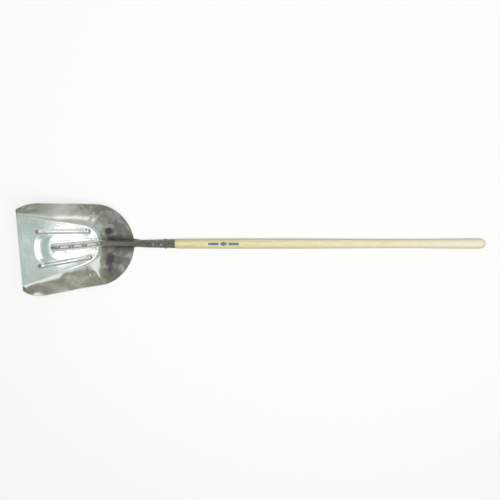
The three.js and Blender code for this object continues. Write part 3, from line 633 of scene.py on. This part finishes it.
def rivet_outline(low, high, shank, head, rise):
    """Half outline (x, radius) of a rivet along X, from one set head to the other."""

    def dome(base, direction):
        points = [(base, shank), (base, head - HEAD_EDGE), (base + direction * HEAD_EDGE, head)]
        for turn in np.linspace(0, math.pi / 2, RIVET_DOME_RINGS)[1:]:
            flat = 1 - HEAD_FLATTENING * math.sin(turn) ** 6
            reach = base + direction * (HEAD_SKIRT + rise * math.sin(turn) * flat)
            points.append((reach, max(HEAD_LEAST_RADIUS, head * math.cos(turn))))
        return points

    return dome(low, -1)[::-1] + dome(high, 1)


def build_rivet(name, low, high, spec, place):
    uneven = []
    for ring in turned(rivet_outline(low, high, **spec), RIVET_SEGMENTS):
        beaten = []
        for x, y, z in ring:
            beaten.append((x, y * (1 + HEAD_UNEVENNESS * noise.noise(Vector((y, z, x)))), z))
        uneven.append(beaten)
    points, faces = loft(uneven)
    return make_piece(name, points, faces, place, sharp=50)


def build_rivets():
    """The seven rivets, each with the CAD node that it stands for."""
    upright = Matrix.Rotation(-math.pi / 2, 4, "Y")
    rivets = []
    for index, along in enumerate(BLADE_RIVETS):
        strap_back = SHEET + 2 * GAP + STRAP_THICKNESS * math.cos(BLADE_LIFT)
        low = -strap_back if along > STRAP_FRONT else -SHEET - GAP
        high = TONGUE_BEAD_HEIGHT - RIVET_SEAT_DEPTH + GAP
        place = FLOOR @ Matrix.Translation((along * MM, 0, 0)) @ upright
        name = f"blade_rivet_{index + 1}"
        rivets.append((build_rivet(f"set_{name}", low, high, BLADE_RIVET, place), name))
    for index, x in enumerate(SOCKET_RIVETS):
        reach = socket_radius(x) + GAP - RIVET_SINK
        place = TOOL @ Matrix.Translation((x * MM, 0, 0)) @ upright
        name = f"socket_rivet_{index + 1}"
        rivets.append((build_rivet(f"set_{name}", -reach, reach, SOCKET_RIVET, place), name))
    reach = socket_radius(CROSS_RIVET_X) + GAP - RIVET_SINK
    place = TOOL @ Matrix.Translation((CROSS_RIVET_X * MM, 0, 0)) @ Matrix.Rotation(math.pi / 2, 4, "Z")
    rivets.append((build_rivet("set_cross_rivet", -reach, reach, SOCKET_RIVET, place), "cross_rivet"))
    return rivets


# ---------------------------------------------------------------- materials


class Recipe:
    """A node tree, written one node at a time: a new material's, or the one given."""

    def __init__(self, name="", tree=None):
        if tree:
            self.tree = tree
            return
        self.material = bpy.data.materials.new(name)
        self.material.use_nodes = True
        self.tree = self.material.node_tree
        self.shader = self.tree.nodes["Principled BSDF"]

    def put(self, socket, value):
        if isinstance(value, bpy.types.NodeSocket):
            self.tree.links.new(value, socket)
        elif value is not None:
            socket.default_value = value

    def add(self, kind, *inputs, **settings):
        """Adds a node; inputs fill its sockets in order, or by name from a dict."""
        node = self.tree.nodes.new(kind)
        for key, value in settings.items():
            setattr(node, key, value)
        for index, value in enumerate(inputs):
            if isinstance(value, dict):
                for key, part in value.items():
                    self.put(node.inputs[key], part)
            else:
                self.put(node.inputs[index], value)
        return node

    def place(self, scale=(1, 1, 1), move=(0, 0, 0)):
        coordinates = self.add("ShaderNodeTexCoord").outputs["Object"]
        mapping = self.add("ShaderNodeMapping", {"Vector": coordinates, "Scale": scale, "Location": move})
        return mapping.outputs[0]

    def noise(self, vector, scale, detail=4, roughness=0.55, distortion=0):
        inputs = {"Vector": vector, "Scale": scale, "Detail": detail, "Roughness": roughness}
        inputs["Distortion"] = distortion
        return self.add("ShaderNodeTexNoise", inputs).outputs["Fac"]

    def remap(self, value, low, high, to_low=0, to_high=1):
        return self.add(
            "ShaderNodeMapRange",
            {"Value": value, "From Min": low, "From Max": high, "To Min": to_low, "To Max": to_high},
        ).outputs["Result"]

    def math(self, operation, a, b=None):
        return self.add("ShaderNodeMath", a, b, operation=operation).outputs[0]

    def mix(self, factor, a, b, blend="MIX"):
        node = self.add("ShaderNodeMix", data_type="RGBA", blend_type=blend)
        self.put(node.inputs["Factor"], factor)
        self.put(node.inputs["A"], a)
        self.put(node.inputs["B"], b)
        return node.outputs["Result"]

    def bump(self, height, distance, strength=1.0, under=None):
        inputs = {"Height": height, "Distance": distance, "Strength": strength, "Normal": under}
        return self.add("ShaderNodeBump", inputs).outputs[0]

    def finish(self, **inputs):
        for key, value in inputs.items():
            self.put(self.shader.inputs[key.replace("_", " ")], value)
        return self.material


BRIGHT_SHEET, DULL_SHEET = (0.88, 0.89, 0.86, 1), (0.74, 0.76, 0.72, 1)
# The second of these sheet colours is painted shade: a dark colour laid beside the shank in place of its
# contact shadow and dark reflection.
SHEET_STAIN, SHEET_PAINTED_SHADE = (0.62, 0.60, 0.52, 1), (0.20, 0.20, 0.18, 1)


def sheet_material():
    """Bright rolled sheet: rolling lines, handling scratches, smears, dings, a wavy skin and
    painted shade beside the shank, standing in for its contact shadow and dark reflection."""
    r = Recipe("rolled_sheet")
    spot = r.place()
    rolled = r.noise(r.place(scale=(1, 26, 1)), 60, detail=3)
    smear = r.noise(spot, 11, detail=5, distortion=0.8)
    mottle = r.noise(spot, 46, detail=3)
    scratch_a = r.noise(r.place(scale=(1.2, 46, 8)), 34, detail=2)
    scratch_b = r.noise(r.place(scale=(52, 1.6, 8), move=(0.3, 0.1, 0)), 29, detail=2)
    lines = r.math("MAXIMUM", r.remap(scratch_a, 0.66, 0.72), r.remap(scratch_b, 0.67, 0.73))
    tone = r.mix(r.remap(smear, 0.35, 0.7), BRIGHT_SHEET, DULL_SHEET)
    tone = r.mix(r.math("MULTIPLY", r.remap(mottle, 0.5, 0.75), 0.3), tone, SHEET_STAIN)
    rough = r.remap(smear, 0.3, 0.75, 0.035, 0.085)
    rough = r.math("ADD", rough, r.math("MULTIPLY", lines, 0.10))
    parts = r.add("ShaderNodeSeparateXYZ", spot)
    # Painted shade: a dark band on both sides of the shank at the sheet's rear, in place of the shank's
    # contact shadow and its dark reflection, broken up a little by the smears.
    beside = r.remap(r.math("ABSOLUTE", parts.outputs["Y"]), 0.038, 0.014)
    painted_shade = r.math("MULTIPLY", beside, r.remap(parts.outputs["X"], -0.64, -0.57))
    painted_shade = r.math("MULTIPLY", painted_shade, r.remap(smear, 0.2, 0.5, 0.5, 0.9))
    tone = r.mix(painted_shade, tone, SHEET_PAINTED_SHADE)
    cells = r.add("ShaderNodeTexVoronoi", {"Vector": spot, "Scale": 62, "Randomness": 1.0})
    lucky = r.remap(cells.outputs["Color"], 0.86, 0.87)
    ding = r.math("MULTIPLY", r.remap(cells.outputs["Distance"], 0.22, 0.05), lucky)
    skin = r.bump(r.noise(spot, 24, detail=3), 0.0006, 0.08)
    dented = r.bump(ding, 0.0005, 0.7, under=skin)
    grain = r.bump(r.math("ADD", rolled, r.math("MULTIPLY", lines, -0.6)), 0.00004, 0.5, under=dented)
    return r.finish(Base_Color=tone, Metallic=1.0, Roughness=rough, Normal=grain)


SCALE_DARK, SCALE_LIGHT, SCALE_PIT = (0.46, 0.46, 0.43, 1), (0.68, 0.68, 0.65, 1), (0.22, 0.21, 0.18, 1)
POLISHED_DARK, POLISHED_LIGHT = (0.80, 0.80, 0.77, 1), (0.89, 0.89, 0.87, 1)


def socket_material():
    """Forged steel: dull, scaly and pitted on the socket, and rubbed bright on the tongue."""
    r = Recipe("dull_steel")
    spot = r.place()
    scale = r.noise(spot, 160, detail=6, roughness=0.65)
    cloud = r.noise(spot, 30, detail=4)
    along = r.add("ShaderNodeSeparateXYZ", spot).outputs["X"]
    dull = r.remap(along, -0.60, -0.46)
    tone = r.mix(r.remap(cloud, 0.3, 0.7), SCALE_DARK, SCALE_LIGHT)
    polished = r.mix(r.remap(cloud, 0.3, 0.7), POLISHED_DARK, POLISHED_LIGHT)
    tone = r.mix(dull, polished, tone)
    pits = r.remap(r.noise(spot, 210, detail=4, roughness=0.6), 0.50, 0.62)
    pitted = r.math("MULTIPLY", pits, r.math("MULTIPLY", dull, 0.75))
    tone = r.mix(pitted, tone, SCALE_PIT)
    rough = r.math("ADD", r.remap(scale, 0.3, 0.7, 0.15, 0.23), r.math("MULTIPLY", dull, 0.16))
    height = r.math("MULTIPLY", r.math("SUBTRACT", scale, pits), r.math("ADD", dull, 0.15))
    return r.finish(Base_Color=tone, Metallic=1.0, Roughness=rough, Normal=r.bump(height, 0.0004, 0.5))


RIVET_DARK, RIVET_LIGHT = (0.62, 0.62, 0.58, 1), (0.80, 0.80, 0.77, 1)


def rivet_material():
    """Rivet steel, finely flecked."""
    r = Recipe("rivet_steel")
    spot = r.place()
    fleck = r.noise(spot, 420, detail=5)
    tone = r.mix(r.remap(fleck, 0.35, 0.65), RIVET_DARK, RIVET_LIGHT)
    rough = r.remap(fleck, 0.3, 0.7, 0.16, 0.30)
    return r.finish(Base_Color=tone, Metallic=0.95, Roughness=rough, Normal=r.bump(fleck, 0.0002, 0.5))


MARK_MIDDLE_X, MARK_MIDDLE_Y = 183, 2.5
MARK_BARS = (-38, 38)
MARK_BAR_SIZE, MARK_DIAMOND_SIZE = (19, 4.2), (16, 8)  # half lengths and half heights
MARK_EDGE = 0.5


def printed_mark(r, parts):
    """A plain ornament printed on the handle: a diamond between two bars."""
    middle = TOOL @ (Vector((MARK_MIDDLE_X, MARK_MIDDLE_Y, 0)) * MM)
    along = r.math("SUBTRACT", parts.outputs["X"], middle.x)
    across = r.math("ABSOLUTE", r.math("SUBTRACT", parts.outputs["Y"], middle.y))
    edge = MARK_EDGE * MM
    half_length, half_height = (v * MM for v in MARK_BAR_SIZE)
    shapes = []
    for offset in MARK_BARS:
        reach = r.math("ABSOLUTE", r.math("SUBTRACT", along, offset * MM))
        length = r.remap(reach, half_length + edge, half_length)
        height = r.remap(across, half_height + edge, half_height)
        shapes.append(r.math("MULTIPLY", length, height))
    half_length, half_height = (v * MM for v in MARK_DIAMOND_SIZE)
    slope = r.math("MULTIPLY", across, half_length / half_height)
    reach = r.math("ADD", r.math("ABSOLUTE", along), slope)
    shapes.append(r.remap(reach, half_length + edge, half_length))
    mark = r.math("MAXIMUM", r.math("MAXIMUM", shapes[0], shapes[1]), shapes[2])
    return r.math("MULTIPLY", mark, r.remap(parts.outputs["Z"], middle.z, middle.z + 2 * MM))


EARLY_WOOD, LATE_WOOD = (0.72, 0.635, 0.29, 1), (0.66, 0.54, 0.20, 1)
SAPWOOD, PALE_STREAK, FLAME = (0.90, 0.86, 0.69, 1), (0.93, 0.90, 0.76, 1), (0.74, 0.62, 0.20, 1)
KNOT, PORE, PRINT_BLUE = (0.36, 0.26, 0.12, 1), (0.50, 0.38, 0.18, 1), (0.01, 0.14, 0.27, 1)


def wood_material():
    """Pale ash under thin varnish: long growth bands, dark pores, small knots, a printed mark."""
    r = Recipe("pale_ash")
    spot = r.place()
    parts = r.add("ShaderNodeSeparateXYZ", spot)
    warp = r.noise(r.place(scale=(1.2, 9, 9)), 2.2, detail=3)
    bands_at = r.add("ShaderNodeVectorMath", spot, (0.55, 30, 30), operation="MULTIPLY")
    shift = r.add("ShaderNodeCombineXYZ", r.math("MULTIPLY", warp, 0.4), r.math("MULTIPLY", warp, 3.0), warp)
    moved = r.add("ShaderNodeVectorMath", bands_at.outputs[0], shift.outputs[0], operation="ADD")
    rings = r.add(
        "ShaderNodeTexWave",
        {"Vector": moved.outputs[0], "Scale": 2.1, "Distortion": 2.2, "Detail": 3, "Detail Scale": 1.2},
        wave_type="RINGS",
        rings_direction="X",
    ).outputs["Fac"]
    streaks = r.noise(r.place(scale=(5, 110, 110)), 1.3, detail=4)
    pores = r.noise(r.place(scale=(9, 420, 420)), 3.2, detail=4)
    flames = r.noise(r.place(scale=(6, 36, 36), move=(0.37, 0, 0)), 1.5, detail=2, distortion=0.4)
    tone = r.mix(r.remap(rings, 0.25, 0.85), EARLY_WOOD, LATE_WOOD)
    toward_end = r.remap(parts.outputs["X"], -0.36, 0.78, 0.03, 0.88)
    pale = r.math("MULTIPLY", toward_end, r.remap(streaks, 0.3, 0.6, 0.6, 1))
    tone = r.mix(pale, tone, SAPWOOD)
    tone = r.mix(r.remap(flames, 0.60, 0.74, 0, 0.75), tone, FLAME)
    tone = r.mix(r.remap(streaks, 0.62, 0.46, 0, 0.35), tone, PALE_STREAK)
    knot_cells = r.place(scale=(9, 42, 42), move=(0.1, 0.5, 0))
    knots = r.add("ShaderNodeTexVoronoi", {"Vector": knot_cells, "Scale": 1.0})
    rare = r.remap(r.add("ShaderNodeSeparateXYZ", knots.outputs["Color"]).outputs["X"], 0.80, 0.81)
    knot = r.math("MULTIPLY", r.remap(knots.outputs["Distance"], 0.17, 0.05, 0, 0.8), rare)
    tone = r.mix(knot, tone, KNOT)
    dark = r.remap(pores, 0.58, 0.72, 0, 0.5)
    tone = r.mix(dark, tone, PORE)
    worn = r.remap(pores, 0.66, 0.52, 0.55, 0.95)
    tone = r.mix(r.math("MULTIPLY", printed_mark(r, parts), worn), tone, PRINT_BLUE)
    rough = r.remap(pores, 0.35, 0.7, 0.34, 0.52)
    height = r.math("SUBTRACT", r.math("MULTIPLY", rings, 0.4), pores)
    normal = r.bump(height, 0.00025, 0.5)
    return r.finish(Base_Color=tone, Roughness=rough, Normal=normal, Coat_Weight=0.25, Coat_Roughness=0.3)


# ---------------------------------------------------------------- the object

materials = {
    "blade_sheet": sheet_material(),
    "socket_steel": socket_material(),
    "rivet_steel": rivet_material(),
    "handle_wood": wood_material(),
}


def finish_piece(piece, node, slot):
    piece.data.materials.append(materials[slot])
    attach(piece, "root")
    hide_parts(node)


finish_piece(build_blade(), "blade", "blade_sheet")
finish_piece(build_socket(), "socket", "socket_steel")
finish_piece(build_strap(), "back_strap", "socket_steel")
finish_piece(build_handle(), "handle", "handle_wood")
for rivet_piece, rivet_node in build_rivets():
    finish_piece(rivet_piece, rivet_node, "rivet_steel")

# ---------------------------------------------------------------- studio

FLOOR_HALF_SIZE, FLOOR_LEVEL = 30, -0.0004
FLOOR_GREY, FLOOR_GLOW = 0.26, 0.72


def studio_floor():
    """A pale sweep that glows a little, so that only a faint shadow shows. The metal doesn't
    mirror it."""
    mesh = bpy.data.meshes.new("studio_floor")
    size, level = FLOOR_HALF_SIZE, FLOOR_LEVEL
    corners = [(-size, -size, level), (size, -size, level), (size, size, level), (-size, size, level)]
    mesh.from_pydata(corners, [], [(0, 1, 2, 3)])
    floor = bpy.data.objects.new("studio_floor", mesh)
    bpy.context.scene.collection.objects.link(floor)
    material = bpy.data.materials.new("pale_floor")
    material.use_nodes = True
    shader = material.node_tree.nodes["Principled BSDF"]
    shader.inputs["Base Color"].default_value = (FLOOR_GREY, FLOOR_GREY, FLOOR_GREY, 1)
    shader.inputs["Roughness"].default_value = 0.9
    shader.inputs["Specular IOR Level"].default_value = 0.0
    shader.inputs["Emission Color"].default_value = (1, 1, 1, 1)
    shader.inputs["Emission Strength"].default_value = FLOOR_GLOW
    mesh.materials.append(material)
    floor.visible_glossy = False
    floor.visible_diffuse = False


LAMP_PLACE, LAMP_AIM, LAMP_SIZE = Vector((0.3, 0.3, 3.2)), Vector((0.2, 0, 0)), (2.6, 1.8)
LAMP_RADIANCE = 5.6  # its brightness seen face on, where 1 is white


def studio_lamp():
    """One large soft lamp overhead, which the metal doesn't mirror."""
    light = bpy.data.lights.new("room_fill", "AREA")
    light.shape = "RECTANGLE"
    light.size, light.size_y = LAMP_SIZE
    light.energy = LAMP_RADIANCE * math.pi * LAMP_SIZE[0] * LAMP_SIZE[1]
    lamp = bpy.data.objects.new("room_fill", light)
    bpy.context.scene.collection.objects.link(lamp)
    lamp.location = LAMP_PLACE
    lamp.rotation_mode = "QUATERNION"
    lamp.rotation_quaternion = (LAMP_AIM - LAMP_PLACE).to_track_quat("-Z", "Y")
    lamp.visible_glossy = False


# Round soft shapes in the room that the metal mirrors, some pale and some dark. Each has its
# axis, the degrees off the axis where it is full and where it ends, its colour, and how much
# of the room behind it it covers.
ROOM_CARDS = (
    ((0.52, -0.26, 0.813), 6.5, 11, (0.49, 0.575, 0.555), 1.0),
    ((0.38, -0.62, 0.68), 9, 20, (0.56, 0.58, 0.54), 1.0),
    ((0.40, -0.66, 0.635), 2.0, 7, (1.1, 1.1, 1.05), 0.9),
    ((0.535, -0.208, 0.819), 1.2, 4.5, (0.66, 0.75, 0.74), 0.8),
    ((-0.05, -0.34, 0.94), 4, 11, (0.065, 0.065, 0.07), 0.95),
    ((-0.07, 0.14, 0.988), 5, 10, (0.085, 0.083, 0.095), 0.95),
    ((0.04, 0.05, 0.998), 2, 6, (0.15, 0.10, 0.09), 0.9),
    ((-0.12, 0.36, 0.925), 4, 9, (0.09, 0.09, 0.095), 0.9),
)
# Bright panels with soft edges, each a list of windows and a colour. A window is a band on
# a sum of the direction's X and Y: the share of X, the share of Y, low, high and softness.
ROOM_PANELS = (
    (
        ((1, 0.3, 0.30, 0.545, 0.04), (0, 1, -0.12, 1.0, 0.05), (1, 1, -2.0, 0.76, 0.04)),
        (0.95, 0.97, 0.94),
    ),
    (((1, 0.3, 0.57, 0.85, 0.03), (0, 1, 0.02, 0.95, 0.06)), (0.92, 0.93, 0.91)),
    (((1, 0, 0.527, 0.583, 0.006), (0, 1, -0.236, -0.171, 0.007)), (1.85, 1.86, 1.84)),
)


ROOM_PAST_LIP, ROOM_OVER_HANDLE = (0.235, 0.24, 0.225, 1), (0.37, 0.38, 0.32, 1)
DARK_CLOUD, PALE_CLOUD, ROOM_BELOW = (0.10, 0.10, 0.07, 1), (0.75, 0.76, 0.70, 1), (0.40, 0.40, 0.37, 1)
SHOWN_ROOM = (0.82, 0.82, 0.82, 1)


def studio_world():
    """A plain pale room to the camera. To everything else, a dim cloudy room, a little
    brighter toward the handle's end, with the cards and the bright panels in it."""
    world = bpy.data.worlds.new("studio")
    bpy.context.scene.world = world
    world.use_nodes = True
    r = Recipe(tree=world.node_tree)
    world.node_tree.nodes.clear()
    output = r.add("ShaderNodeOutputWorld")
    toward = r.add("ShaderNodeTexCoord").outputs["Generated"]
    parts = r.add("ShaderNodeSeparateXYZ", toward)
    glow = r.mix(r.remap(parts.outputs["X"], -0.30, 0.35), ROOM_PAST_LIP, ROOM_OVER_HANDLE)
    cloud = r.noise(toward, 5.0, detail=4, roughness=0.6, distortion=0.6)
    glow = r.mix(r.remap(cloud, 0.35, 0.62, 0.45, 0), glow, DARK_CLOUD)
    glow = r.mix(r.remap(cloud, 0.52, 0.70, 0, 0.45), glow, PALE_CLOUD)
    for axis, inner, outer, colour, share in ROOM_CARDS:
        along = Vector(axis).normalized()
        facing = r.add("ShaderNodeVectorMath", toward, along, operation="DOT_PRODUCT").outputs["Value"]
        low, high = math.cos(math.radians(outer)), math.cos(math.radians(inner))
        glow = r.mix(r.remap(facing, low, high, 0, share), glow, (*colour, 1))
    for windows, colour in ROOM_PANELS:
        share = 1.0
        for share_x, share_y, low, high, softness in windows:
            across = r.math("MULTIPLY", parts.outputs["X"], share_x)
            at = r.math("ADD", across, r.math("MULTIPLY", parts.outputs["Y"], share_y))
            share = r.math("MULTIPLY", share, r.remap(at, low, low + softness))
            share = r.math("MULTIPLY", share, r.remap(at, high, high - softness))
        glow = r.mix(share, glow, (*colour, 1))
    below = r.remap(parts.outputs["Z"], 0.06, -0.10)
    glow = r.mix(below, glow, ROOM_BELOW)
    room = r.add("ShaderNodeBackground", glow, 1.0)
    shown = r.add("ShaderNodeBackground", SHOWN_ROOM, 1.0)
    camera_ray = r.add("ShaderNodeLightPath").outputs["Is Camera Ray"]
    mixer = r.add("ShaderNodeMixShader", camera_ray, room.outputs[0], shown.outputs[0])
    r.put(output.inputs["Surface"], mixer.outputs[0])


CAMERA_TILT = math.radians(13)
CAMERA_DISTANCE = 2.17
CAMERA_LENS = 41.55
CAMERA_MIDDLE_X = 282  # the middle of the view along the tool's X axis
CAMERA_BELOW_AXIS = 24.1  # how far below the handle's axis the view's middle lies


def studio_camera():
    """Looks down on the tool from a little to its +Y side, square to the handle's axis."""
    camera = bpy.data.objects.new("camera", bpy.data.cameras.new("camera"))
    bpy.context.scene.collection.objects.link(camera)
    camera.data.lens = CAMERA_LENS
    toward = Vector((0, math.sin(CAMERA_TILT), math.cos(CAMERA_TILT)))
    up = Vector((0, math.cos(CAMERA_TILT), -math.sin(CAMERA_TILT)))
    middle = TOOL @ (Vector((CAMERA_MIDDLE_X, 0, 0)) * MM)
    camera.location = middle - up * CAMERA_BELOW_AXIS * MM + toward * CAMERA_DISTANCE
    rotation = Matrix((Vector((1, 0, 0)), up, toward)).transposed()
    camera.rotation_mode = "QUATERNION"
    camera.rotation_quaternion = rotation.to_quaternion()
    bpy.context.scene.camera = camera


studio_floor()
studio_world()
studio_lamp()
bpy.context.scene.view_settings.view_transform = "Standard"
studio_camera()
